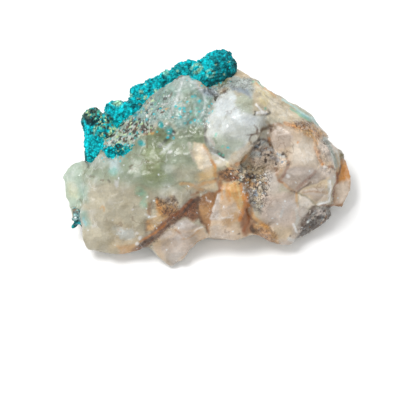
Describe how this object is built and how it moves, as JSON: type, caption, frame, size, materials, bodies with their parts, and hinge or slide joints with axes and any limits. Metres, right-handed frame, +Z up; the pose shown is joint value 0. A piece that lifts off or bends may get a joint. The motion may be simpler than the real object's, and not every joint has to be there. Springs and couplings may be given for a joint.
{
  "type": "mineral specimen",
  "caption": "Rough milky quartz stone with brown-stained creases and a bubbly blue-green chrysocolla crust along one edge.",
  "frame": {"origin": "under the middle of the stone's box, on the ground that it rests on", "axes": "+X along the stone's length, to the right in the picture; +Y away from the viewer; +Z up"},
  "size_m": [0.0592, 0.0408, 0.0244],
  "materials": {
    "quartz": "broken milky quartz, glossy in patches",
    "chrysocolla_crust": "dull bubbly crust",
    "chrysocolla_patch": "dull dark crust"
  },
  "bodies": {
    "root": {"quartz": "quartz", "chrysocolla_crust": "chrysocolla_crust", "chrysocolla_patch": "chrysocolla_patch"}
  },
  "joints": []
}
